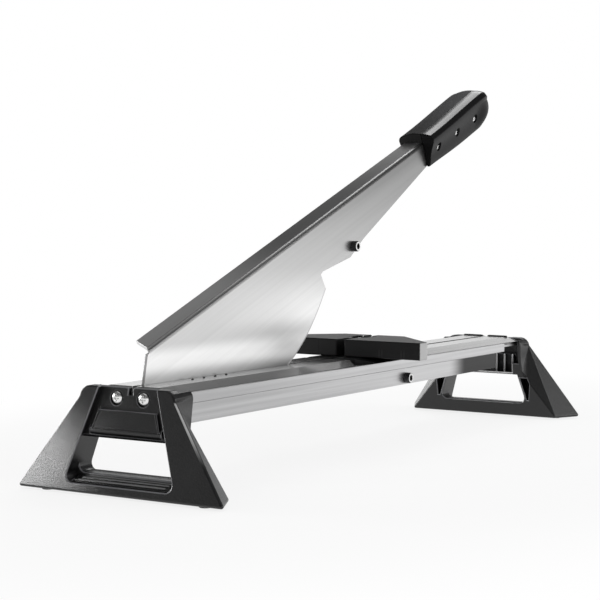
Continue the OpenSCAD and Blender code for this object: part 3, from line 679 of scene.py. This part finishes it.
class CUTTER_OT_feet(bpy.types.Operator):
    """Moulded feet with softened edges, and their pads"""

    bl_idname = "cutter.feet"
    bl_label = "Feet"

    def execute(self, context):
        edge = context.scene.cutter_looks.plastic_edge
        for end in ("near", "far"):
            foot = softened(f"{end}_foot", f"{end}_foot_moulding", edge, segments=3, limit=35.0)
            dress(foot, black_plastic(), "base", [f"{end}_foot"])
            # The rounded edges take the paler plastic: a painted highlight along them.
            foot.data.materials.append(edge_highlight_plastic())
            foot.modifiers["rounded_edges"].material = 1
            pads = softened(f"{end}_pads", f"{end}_pads_rounded", 0.5)
            dress(pads, pad_rubber(), "base", [f"{end}_pads"])
            bead = self.panel_frame(f"{end}_panel_frame", end == "far")
            dress(bead, black_plastic(), "base")
        return {"FINISHED"}

    def panel_frame(self, name, mirrored):
        """Raised bead round the bare panel: a circle carried round a trapezium on the leaning face."""
        low, high = 43.2, 55.3
        foot_high, foot_lean, panel_in = 71.6, 12.2, 1.95
        recess_top, recess_spread, recess_high, margin = 48.0, 44.0, 65.3, 5.9
        half_wide, half_deep = 0.45, 0.4
        half = [(recess_top + recess_spread * (foot_high - z) / recess_high) / 2 - margin
                for z in (low, high)]
        corners = [(-half[0], low), (half[0], low), (half[1], high), (-half[1], high)]
        path = resampled([np.array(c) for c in corners], [60, 24, 60, 24])
        inward = path.mean(0) - path
        inward /= np.linalg.norm(inward, axis=1, keepdims=True)
        turn = circle(12)
        across = path[:, None] + inward[:, None] * half_wide * np.cos(turn)[None, :, None]
        x = foot_lean / foot_high * across[..., 1] + panel_in - half_deep * np.sin(turn)[None]
        points = np.stack([BASE_LENGTH - x if mirrored else x, across[..., 0], across[..., 1]], -1)
        return surface(name, on_floor(np.concatenate([points, points[:1]])), sharp=60.0)


class CUTTER_OT_fence(bpy.types.Operator):
    """Fence and its base strips with softened edges"""

    bl_idname = "cutter.fence"
    bl_label = "Fence"

    def execute(self, context):
        edge = context.scene.cutter_looks.plastic_edge
        block = softened("fence_block", "fence_moulding", edge)
        dress(block, fence_plastic(), "fence", ["fence_block"])
        for side in ("front", "rear"):
            node = f"{side}_fence_base"
            strip = softened(node, f"{node}_moulding", 0.3)
            dress(strip, fence_plastic(), "base", [node])
        return {"FINISHED"}


BELLY = ((130.0, -52.0), (165.0, -53.0), (195.0, -45.0), (232.5, -17.9))


def belly_curve(count):
    """Points of the belly: the cubic curve from its start to the hook's tip, u and v."""
    a, b, c, d = (np.array(point) for point in BELLY)
    t = np.linspace(0.0, 1.0, count)[:, None]
    return (1 - t) ** 3 * a + 3 * t * (1 - t) ** 2 * b + 3 * t * t * (1 - t) * c + t ** 3 * d


class CUTTER_OT_blade(bpy.types.Operator):
    """Blade plate with broken edges, and the ground bevel along its belly"""

    bl_idname = "cutter.blade"
    bl_label = "Blade"

    def execute(self, context):
        plate = softened("blade", "blade_plate", context.scene.cutter_looks.metal_edge, limit=25.0)
        dress(plate, brushed_blade(), "lever", ["blade"])
        edges = [self.bevel_strip(side) for side in (-1, 1)]
        dress(joined("blade_ground_edge", edges), ground_edge(), "lever")
        return {"FINISHED"}

    def bevel_strip(self, side):
        """Thin strip on one face: from the cutting edge to a line about a millimetre inside it.

        Each column is a closed section of four points, carried along the belly."""
        count, inset, wide, sunk = 60, 0.15, 1.2, 0.3
        line = belly_curve(count)
        run = np.gradient(line, axis=0)
        run /= np.linalg.norm(run, axis=1, keepdims=True)
        inward = np.stack([-run[:, 1], run[:, 0]], -1)
        start = line + inward * inset
        end = line + inward * wide
        corners = ((start, -sunk), (start, 0.05), (end, 0.03), (end, -sunk))
        section = np.stack([
            np.column_stack([at[:, 0], np.full(count, side * (HALF_BLADE + proud)), at[:, 1]])
            for at, proud in corners], 1)
        first, last = section[:1].mean(1, keepdims=True), section[-1:].mean(1, keepdims=True)
        rows = np.concatenate([np.repeat(first, 4, 1), section, np.repeat(last, 4, 1)])
        return surface("bevel", on_lever(rows))


# Screws

def socket_hexagon(turn, hardware):
    """Radius of the cap screws' hexagon at each angle: half its width over the cosine from a flat."""
    wedge = np.abs((turn + math.pi / 6) % (math.pi / 3) - math.pi / 6)
    return hardware.cap_socket / 2 / np.cos(wedge)


def cap_head(hardware):
    """Knurled cap head along +Z on z = 0, in millimetres, as rings of a radius and a height.

    The wall's radius swings with the knurls, and inside the rim the top falls into a hexagon."""
    turn = circle(180)
    radius, height = hardware.cap_head / 2, hardware.cap_height
    knurl = 0.12 * np.abs(np.sin(hardware.cap_knurls * turn / 2))
    hexagon = socket_hexagon(turn, hardware)
    return rings_round(turn, [
        (0.0, 0.0), (radius - 0.35, 0.0), (radius - knurl, 0.3), (radius - knurl, height - 1.0),
        (radius - knurl * 0.6 - 0.06, height - 0.75), (radius - 0.35, height - 0.15),
        (radius - 0.65, height), (hexagon + 0.45, height), (hexagon, height - 0.35),
        (hexagon, height - 2.6), (0.0, height - 3.2)])


def cross_head(columns, rows, radius, height, arm, reach, deep, tail):
    """Screw along +Z: a domed head less a tapered cross, then rings of a radius and a height.

    The dome is a height over a disc, and the cross is eased across its arms and along them."""
    turn = circle(columns)
    r = np.linspace(0.0, radius, rows)[:, None]
    a, b = r * np.cos(turn), r * np.sin(turn)
    narrow = np.minimum(np.abs(a), np.abs(b))
    long = np.maximum(np.abs(a), np.abs(b))
    cross = (1.0 - smooth_step(*arm, narrow)) * (1.0 - smooth_step(*reach, long))
    dome = height * np.sqrt(np.clip(1.0 - 0.8 * (r / radius) ** 2.4, 0.0, 1.0))
    top = dome + 0.0 * a - deep * cross
    return np.concatenate([np.stack([a, b, top], -1), rings_round(turn, tail)])


def along_front(points, x, y, z):
    """Turns a head that points along +Z so that it points to the front, at a place."""
    return np.stack([points[..., 0] + x, y - points[..., 2], points[..., 1] + z], -1)


class CUTTER_OT_cap_screws(bpy.types.Operator):
    """Knurled cap screws: the stop screw in the arm and the tie bolt in the rail"""

    bl_idname = "cutter.cap_screws"
    bl_label = "Cap screws"

    def execute(self, context):
        hardware = context.scene.cutter_hardware
        head, face = cap_head(hardware), self.face(hardware)
        for node, body, (x, z), half, placed in (
                ("stop_screw", "lever", STOP_SCREW, HALF_BLADE, on_lever),
                ("tie_bolt", "base", TIE_BOLT, HALF_BASE, on_floor)):
            seated = surface("head", placed(along_front(head, x, -half, z)))
            shank = self.shank(x, z, half, placed)
            dress(joined(f"{node}_knurled", [seated, shank]), blackened_steel(), body,
                  [node])
            worn = surface(f"{node}_face", placed(along_front(face, x, -half, z)))
            dress(worn, worn_face(), body)
        return {"FINISHED"}

    def face(self, hardware):
        """Thin ring on the head's face, from the hexagon to the chamfer, as a closed section."""
        turn = circle(180)
        inner = socket_hexagon(turn, hardware) + 0.2
        outer = hardware.cap_head / 2 - 0.42
        top = hardware.cap_height + 0.02
        low = top - 0.3
        return rings_round(turn, [(inner, low), (inner + 0.2, top), (outer - 0.2, top),
                                  (outer, low), (inner, low)])

    def shank(self, x, z, half, placed):
        """Shank with a chamfered end, as rings from the head's seat to beyond the nut."""
        radius, tip, chamfer = 2.5, 1.9, 0.6
        end = half + 4.0
        rings = [(0.0, half), (radius, half), (radius, -end + chamfer), (tip, -end), (0.0, -end)]
        return surface("shank", placed(along_front(rings_round(circle(40), rings), x, 0.0, z)))


class CUTTER_OT_foot_screws(bpy.types.Operator):
    """Domed pan-head screws with a cross recess"""

    bl_idname = "cutter.foot_screws"
    bl_label = "Foot screws"

    def execute(self, context):
        hardware = context.scene.cutter_hardware
        for end, mirror in (("near", 1.0), ("far", -1.0)):
            pieces = [self.screw(hardware, side * FOOT_SCREW[0], mirror) for side in (-1, 1)]
            dress(joined(f"{end}_foot_screws_domed", pieces), zinc_plate(), "base",
                  [f"{end}_foot_screws"])
        return {"FINISHED"}

    def screw(self, hardware, y, mirror):
        """Pan head on the foot's seat, and its shank into the rail, turned round for the far foot."""
        radius = hardware.pan_head / 2
        tail = ((radius, 0.0), (2.0, 0.0), (2.0, -20.0), (0.6, -22.0), (0.0, -22.0))
        points = cross_head(96, 30, radius, hardware.pan_height, (0.45, 0.75), (1.9, 2.5), 1.5, tail)
        x = FOOT_SCREW_SEAT - points[..., 2]
        x = x if mirror > 0 else BASE_LENGTH - x
        placed = np.stack([x, y + points[..., 0], FOOT_SCREW[1] + points[..., 1]], -1)
        return surface("screw", on_floor(placed), sharp=30.0)


# Grip

def grip_stations(grip, count):
    """Places along the grip, closer together at both ends, and the shrink towards its end.

    Heights shrink as a quarter of an ellipse over the last part, widths as a fuller curve."""
    t = np.linspace(0.0, 1.0, count)
    u = grip.front + (grip.end - grip.front) * (t - np.sin(2 * math.pi * t) / (2 * math.pi) * 0.55)
    rounded = 25.0
    past = np.clip((u - (grip.end - rounded)) / rounded, 0.0, 1.0)
    tall = np.sqrt(1.0 - past ** 2.3)
    wide = np.sqrt(1.0 - past ** 2.6)
    return u, tall, wide


def grip_lines(grip, u):
    """Height of the grip's crown and underside along it: a slow rise, and a slight belly."""
    t = (u - grip.front) / (grip.end - grip.front)
    crown = 44.3 + 4.6 * smooth_step(0.0, 0.95, t)
    low = grip.low - 0.9 * np.sin(math.pi * np.clip(t * 1.1, 0.0, 1.0)) ** 2
    return crown, low


def closed_ends(rows, front, rounding=0.9):
    """Adds a flat front with a rounded rim, and closes the last row on its middle."""
    middle = rows[:1].mean(1, keepdims=True)
    inset = middle + (rows[:1] - middle) * 0.955
    face = inset.copy()
    face[..., 0] = front
    rows = rows.copy()
    rows[0, :, 0] = front + rounding
    centre = np.repeat(face.mean(1, keepdims=True), rows.shape[1], 1)
    end = np.repeat(rows[-1:].mean(1, keepdims=True), rows.shape[1], 1)
    return np.concatenate([centre, face, rows, end])


def resampled(corners, counts):
    """Points along straight runs between corners: each run gets its own count."""
    runs = []
    for (a, b), n in zip(zip(corners, corners[1:] + corners[:1]), counts):
        t = np.linspace(0.0, 1.0, n, endpoint=False)[:, None]
        runs.append(np.asarray(a, float)[None] * (1 - t) + np.asarray(b, float)[None] * t)
    return np.concatenate(runs)


class CUTTER_OT_grip(bpy.types.Operator):
    """Two grip shells and their screws"""

    bl_idname = "cutter.grip"
    bl_label = "Grip"

    screw_places = ((440.5, 27.0), (478.3, 27.0), (516.1, 27.0))

    def execute(self, context):
        grip = context.scene.cutter_grip
        dress(self.front_shell(grip), grip_gloss(), "lever", ["grip_front"])
        dress(self.band(grip), grip_band_gloss(), "lever")
        dress(self.rear_shell(grip), grip_matte(), "lever", ["grip_rear"])
        heads = [self.screw(u, v) for u, v in self.screw_places]
        dress(joined("grip_screws_sunk", heads), zinc_plate(), "lever", ["grip_screws"])
        return {"FINISHED"}

    def carried(self, name, grip, section, recessed):
        """Carries a section of height shares and reaches along the grip, and closes its ends.

        Towards the grip's end the sides swell to an arch, the square root of 1 - (2 share - 1)^2."""
        u, tall, wide = grip_stations(grip, 220)
        crown, low = grip_lines(grip, u)
        middle = (crown + low) / 2
        share = section[None, :, 1]
        v = low[:, None] + (crown - low)[:, None] * share
        v = middle[:, None] + (v - middle[:, None]) * tall[:, None]
        round_off = smooth_step(0.72, 0.97, (u - grip.front) / (grip.end - grip.front))[:, None]
        reach = section[:, 0]
        arch = np.sqrt(np.clip(1.0 - (2.0 * share - 1.0) ** 2, 0.0, 1.0))
        bulge = np.sign(reach) * np.abs(reach).max() * arch
        fuller = np.where(np.abs(bulge) > np.abs(reach), bulge, reach)
        y = np.where((np.abs(reach) > 2.0) & (share < 0.8), reach + (fuller - reach) * round_off, reach)
        y = y * wide[:, None]
        rows = np.stack([np.repeat(u[:, None], section.shape[0], 1), y, v], -1)
        if recessed:
            rows = self.sink(grip, rows)
        return surface(name, on_lever(closed_ends(rows, grip.front)), sharp=50.0)

    def sink(self, grip, rows):
        """Round recesses at the screws: outer points move inwards by an eased depth."""
        radius = 3.9
        rows = rows.copy()
        outer = smooth_step(-2.5, -3.5, rows[..., 1])
        for u, v in self.screw_places:
            away = np.hypot((rows[..., 0] - u) / radius, (rows[..., 2] - v) / radius)
            rows[..., 1] += grip.recess * outer * (1.0 - smooth_step(0.76, 1.0, away))
        return rows

    def front_shell(self, grip):
        """Section of the front shell: joint, glossy top band, chamfer, hollow side, underside."""
        reach = grip.front_reach
        side = np.linspace(0.0, 1.0, 90)
        hollow = np.column_stack([
            -reach + (reach - 4.2) * side ** 1.25 + 1.2 * np.sin(math.pi * side) ** 2,
            0.80 - 0.78 * side])
        band = resampled([(-0.5, 0.985), (-reach + 2.4, 0.93)], [24, 1])[:24]
        chamfer = resampled([(-reach + 2.0, 0.915), (-reach, 0.815)], [12, 1])[:12]
        under = resampled([(-3.6, 0.004), (-1.4, 0.0)], [6, 1])[:6]
        inner = resampled([(-1.4, 0.03), (-1.4, 0.70)], [12, 1])[:12]
        joint = resampled([(-0.5, 0.74), (-0.5, 0.975)], [8, 1])[:8]
        section = np.concatenate([band, chamfer, hollow, under, inner, joint])
        return self.carried("grip_front_shell", grip, section, True)

    def band(self, grip):
        """Thin polished strip on the front shell's top, a closed section a quarter millimetre thick."""
        reach = grip.front_reach
        top = resampled([(-0.7, 0.991), (-reach + 2.5, 0.937)], [24, 1])[:25]
        top[:, 1] += 0.012 * np.sin(math.pi * np.linspace(0.0, 1.0, len(top)))
        under = top[::-1] - np.array([0.0, 0.012])
        return self.carried("grip_band", grip, np.concatenate([top, under]), False)

    def rear_shell(self, grip):
        """Section of the rear shell: crowned top, rounded edge, tapering back, joint."""
        reach = grip.rear_reach
        t = np.linspace(0.0, 1.0, 30, endpoint=False)
        crown = 0.985 + 0.028 * np.sin(math.pi * t) - 0.05 * t ** 2
        top = np.column_stack([-0.5 + (reach - 4.5) * t, crown])
        angle = np.linspace(0.0, 1.0, 16, endpoint=False) * math.pi * 0.62
        edge = np.column_stack([reach - 5.0 + 5.0 * np.sin(angle), 0.78 + 0.155 * np.cos(angle)])
        back = resampled([(reach - 0.6, 0.66), (reach / 3, 0.02)], [40, 1])[:40]
        under = resampled([(reach / 3 - 0.6, 0.0), (1.6, 0.0)], [8, 1])[:8]
        inner = resampled([(1.4, 0.03), (1.4, 0.6)], [12, 1])[:12]
        joint = resampled([(-0.5, 0.74), (-0.5, 0.975)], [8, 1])[:8]
        section = np.concatenate([top, edge, back, under, inner, joint])
        return self.carried("grip_rear_shell", grip, section, False)

    def screw(self, u, v):
        """Small domed head with a cross, sunk in its recess, and its shank into the rear shell."""
        radius, height, seat = 2.6, 1.4, -5.0
        tail = ((radius, 0.0), (2.0, 0.0), (2.0, -12.0), (0.0, -13.0))
        points = cross_head(64, 20, radius, height, (0.35, 0.6), (1.5, 2.0), 1.0, tail)
        return surface("head", on_lever(along_front(points, u, seat, v)), sharp=30.0)


class CUTTER_OT_hardware(bpy.types.Operator):
    """Finishes of the nuts, sleeves, washers and bearings"""

    bl_idname = "cutter.hardware"
    bl_label = "Inner hardware"

    def execute(self, context):
        finishes = {
            "pivot_bolt": zinc_plate, "pivot_nut": zinc_plate, "pivot_washers": pale_washer,
            "pivot_bush": turned_brass, "tie_nut": blackened_steel, "tie_spacer": zinc_plate,
            "tie_sleeves": zinc_plate, "fence_screw": zinc_plate, "fence_nut": zinc_plate,
            "stop_nut": blackened_steel,
        }
        for node, finish in finishes.items():
            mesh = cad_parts[node].data
            mesh.materials.clear()
            mesh.materials.append(finish())
        return {"FINISHED"}


# Stage

def looking(right, up, back, place):
    """The matrix of a lamp or a camera, from its three axes and its place."""
    return Matrix([*zip(right, up, back, place), (0.0, 0.0, 0.0, 1.0)])


class CUTTER_OT_stage(bpy.types.Operator):
    """Pale floor, soft studio light and the camera"""

    bl_idname = "cutter.stage"
    bl_label = "Stage"

    def execute(self, context):
        stage = context.scene.cutter_stage
        context.scene.view_settings.view_transform = "Standard"
        self.floor()
        self.world(context, stage)
        self.lamp("right_softbox", (0.45, -1.75, 0.75), (0.0, 0.0, 0.1), (1.6, 1.1), stage.key)
        self.lamp("top_softbox", (1.44, 0.45, 1.62), (0.1, 0.0, 0.15), (0.55, 1.0), stage.top)
        self.lamp("left_spot", (-0.617, 0.385, 0.07), (-0.284, 0.09, 0.022), None, stage.left)
        self.lamp("left_softbox", (-0.6, 1.15, 0.2), (-0.28, 0.0, 0.04), (0.6, 0.35), stage.strip)
        self.camera(context)
        return {"FINISHED"}

    def seen(self, s):
        """Three masks: 1 for rays from the camera, from gloss and through glass."""
        path = s.node("ShaderNodeLightPath").socket.node.outputs
        return [Value(s, path[n]) for n in ("Is Camera Ray", "Is Glossy Ray", "Is Transmission Ray")]

    def floor(self):
        """A large plane under the pads, whose white keeps a part of the object's shadow."""
        half = 6.0
        grid = np.array([[[x, y, 0.0] for x in (-half, half)] for y in (-half, half)])
        plane = surface("floor", grid, wrap=False)
        if plane.data.polygons[0].normal.z < 0:
            plane.data.flip_normals()
        new = bpy.data.materials.new("floor_white")
        new.use_nodes = True
        s = Shader(new.node_tree)
        camera, glossy, through = self.seen(s)
        x, y, z = s.parts(s.place())
        away = (x * x * 3.0 + y * y * 8.0).step(0.4, 1.6, 0.82, 1.0)
        shown = (camera + glossy + through).maths("MINIMUM", 1.0) * away
        lit = s.node("ShaderNodeBsdfDiffuse", None, {"Color": (0.9, 0.9, 0.9, 1.0)})
        shade = 1.0 - glossy * 0.04
        white = s.node("ShaderNodeEmission", None, {"Color": shade, "Strength": 1.0})
        both = s.node("ShaderNodeMixShader", None, {0: shown, 1: lit, 2: white})
        s.node("ShaderNodeOutputMaterial", None, {"Surface": both})
        plane.data.materials.append(new)

    def world(self, context, stage):
        """White to the camera; to gloss, a studio that is dark behind and bright at right and above."""
        sky = bpy.data.worlds.new("studio")
        context.scene.world = sky
        sky.use_nodes = True
        s = Shader(sky.node_tree)
        x, y, z = s.parts(s.node("ShaderNodeTexCoord", output="Generated"))
        right = (0.0 - y).step(-0.2, 0.25)
        panel = right * z.fall(0.1, 0.26) * 1.12
        back = (1.0 - right) * x.step(0.0, 0.3) * z.fall(0.22, 0.315) * 0.9
        left = y.step(0.7, 0.85) * x.step(0.1, 0.4) * z.fall(0.25, 0.5) * 4.0
        studio = panel + back + left + z.step(0.8, 0.86) * 0.5 + 0.12
        camera, glossy, through = self.seen(s)
        level = glossy * studio + (1.0 - glossy) * stage.ambient
        level = (camera + through).maths("MINIMUM", 1.0) + level * (1.0 - camera)
        light = s.node("ShaderNodeBackground", None, {"Color": (1.0, 1.0, 1.0, 1.0), "Strength": level})
        s.node("ShaderNodeOutputWorld", None, {"Surface": light})

    def lamp(self, name, place, aim, size, power):
        """A rectangular lamp, or a small spot without a size, that looks from its place to its aim."""
        data = bpy.data.lights.new(name, "AREA" if size else "SPOT")
        if size:
            data.shape = "RECTANGLE"
            data.size, data.size_y = size
        else:
            data.shadow_soft_size = 0.015
            data.spot_size, data.spot_blend = math.radians(13.5), 1.0
        data.energy = power
        made = linked(name, data)
        back = np.array(place, float) - np.array(aim, float)
        back /= np.linalg.norm(back)
        side = np.cross((0.0, 0.0, 1.0), back)
        side /= np.linalg.norm(side)
        up = np.cross(back, side)
        made.matrix_world = looking(side, up, back, place)

    def camera(self, context):
        """The photograph's place and angles, with its focal length on a 36 mm square sensor."""
        right = (0.53357, -0.84575, 0.00246)
        up = (0.04546, 0.03158, 0.99847)
        back = (-0.84453, -0.53264, 0.05530)
        place = (-1.16003, -0.69404, 0.19378)
        data = bpy.data.cameras.new("photo_camera")
        data.sensor_width = 36.0
        data.lens = 101.604
        data.clip_end = 60.0
        made = linked("photo_camera", data)
        made.matrix_world = looking(right, up, back, place)
        context.scene.camera = made


OPERATORS = (CUTTER_OT_base, CUTTER_OT_feet, CUTTER_OT_fence, CUTTER_OT_blade, CUTTER_OT_cap_screws,
             CUTTER_OT_foot_screws, CUTTER_OT_grip, CUTTER_OT_hardware, CUTTER_OT_stage)
GROUPS = {"cutter_looks": CutterLooks, "cutter_hardware": CutterHardware,
          "cutter_grip": CutterGrip, "cutter_stage": CutterStage}


class CUTTER_PT_sidebar(bpy.types.Panel):
    """Lists the cutter's operators and settings"""

    bl_idname = "CUTTER_PT_sidebar"
    bl_label = "Flooring cutter"
    bl_space_type = "VIEW_3D"
    bl_region_type = "UI"
    bl_category = "Cutter"

    def draw(self, context):
        for operator in OPERATORS:
            self.layout.operator(operator.bl_idname)
        for name, group in GROUPS.items():
            for setting in group.__annotations__:
                self.layout.prop(getattr(context.scene, name), setting)


def register():
    for kind in (*GROUPS.values(), *OPERATORS, CUTTER_PT_sidebar):
        bpy.utils.register_class(kind)
    for name, group in GROUPS.items():
        setattr(bpy.types.Scene, name, bpy.props.PointerProperty(type=group))


def unregister():
    for name in GROUPS:
        delattr(bpy.types.Scene, name)
    for kind in (CUTTER_PT_sidebar, *reversed(OPERATORS), *reversed(list(GROUPS.values()))):
        bpy.utils.unregister_class(kind)


def main():
    """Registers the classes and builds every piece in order."""
    register()
    for operator in OPERATORS:
        group, name = operator.bl_idname.split(".")
        getattr(getattr(bpy.ops, group), name)()


if __name__ == "__main__":
    main()
